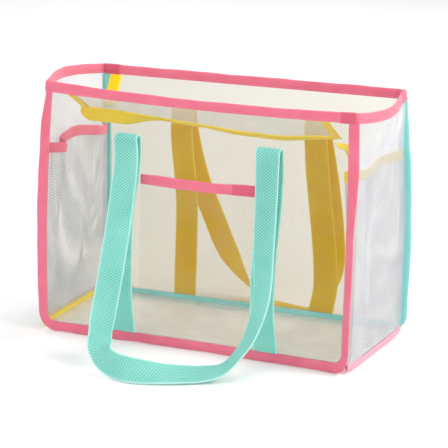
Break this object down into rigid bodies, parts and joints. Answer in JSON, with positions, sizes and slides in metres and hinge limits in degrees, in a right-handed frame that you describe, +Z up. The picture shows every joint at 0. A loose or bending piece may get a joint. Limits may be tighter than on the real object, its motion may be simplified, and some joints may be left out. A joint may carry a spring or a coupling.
{
  "type": "beach bag",
  "caption": "Clear film beach tote with net end gussets, taped seams, two webbing carry loops, an inner flap, slip pockets and a small snap hook on a strap.",
  "frame": {"origin": "middle of the whole object's footprint, at the level of the surface it stands on", "axes": "+X along the bag's width to its right, +Y from front to back, +Z up"},
  "size_m": [0.4134, 0.3791, 0.305],
  "materials": {
    "clear_film": "clear flexible film, glossy, slightly hazy",
    "white_net": "fine white knitted net",
    "pink_tape": "ribbed woven binding tape",
    "mint_tape": "ribbed woven binding tape",
    "yellow_tape": "ribbed woven binding tape",
    "mint_webbing": "twill handle webbing",
    "yellow_webbing": "twill handle webbing",
    "nickel": "bright nickel plate"
  },
  "bodies": {
    "bag": {"front_panel": "clear_film", "back_panel": "clear_film", "bottom_panel": "clear_film", "left_gusset": "white_net", "right_gusset": "white_net", "rim_binding": "pink_tape", "front_binding": "pink_tape", "back_binding": "mint_tape", "left_foot_binding": "yellow_tape", "right_foot_binding": "pink_tape", "left_pocket": "white_net", "left_pocket_binding": "pink_tape", "right_pocket": "white_net", "right_pocket_binding": "yellow_tape", "front_pocket": "clear_film", "front_pocket_binding": "pink_tape", "front_strap_left": "mint_webbing", "front_strap_right": "mint_webbing", "back_strap_left": "yellow_webbing", "back_strap_right": "yellow_webbing"},
    "front_loop": {"front_handle": "mint_webbing"},
    "back_loop": {"back_handle": "yellow_webbing"},
    "flap": {"inner_flap": "clear_film", "flap_binding": "yellow_tape"},
    "key": {"key_strap": "yellow_tape", "hook_eye": "nickel"},
    "hook": {"hook_body": "nickel"},
    "gate": {"hook_gate": "nickel"}
  },
  "joints": [
    {"name": "front_loop_lift", "type": "hinge", "parent": "bag", "child": "front_loop", "pos_m": [0, -0.05, 0.25], "axis": [-1, 0, 0], "range_deg": [0, 150]},
    {"name": "back_loop_lift", "type": "hinge", "parent": "bag", "child": "back_loop", "pos_m": [0, 0.134, 0.25], "axis": [1, 0, 0], "range_deg": [0, 150]},
    {"name": "flap_fold", "type": "hinge", "parent": "bag", "child": "flap", "pos_m": [0, -0.0385, 0.294], "axis": [1, 0, 0], "range_deg": [-45, 120], "stiffness_Nm_per_rad": 0.04, "springref_deg": 11.46},
    {"name": "key_swing", "type": "hinge", "parent": "bag", "child": "key", "pos_m": [-0.18, 0.1205, 0.2905], "axis": [-1, 0, 0], "range_deg": [-15, 110], "stiffness_Nm_per_rad": 0.01, "springref_deg": 6.88},
    {"name": "hook_swivel", "type": "hinge", "parent": "key", "child": "hook", "pos_m": [-0.18, 0.1205, 0.2905], "axis": [0, -0.5, -0.866], "continuous": true},
    {"name": "gate_open", "type": "hinge", "parent": "hook", "child": "gate", "pos_m": [-0.1753, 0.0915, 0.24027], "axis": [0, -0.866, 0.5], "range_deg": [0, 25], "stiffness_Nm_per_rad": 0.002, "springref_deg": -17.19}
  ]
}
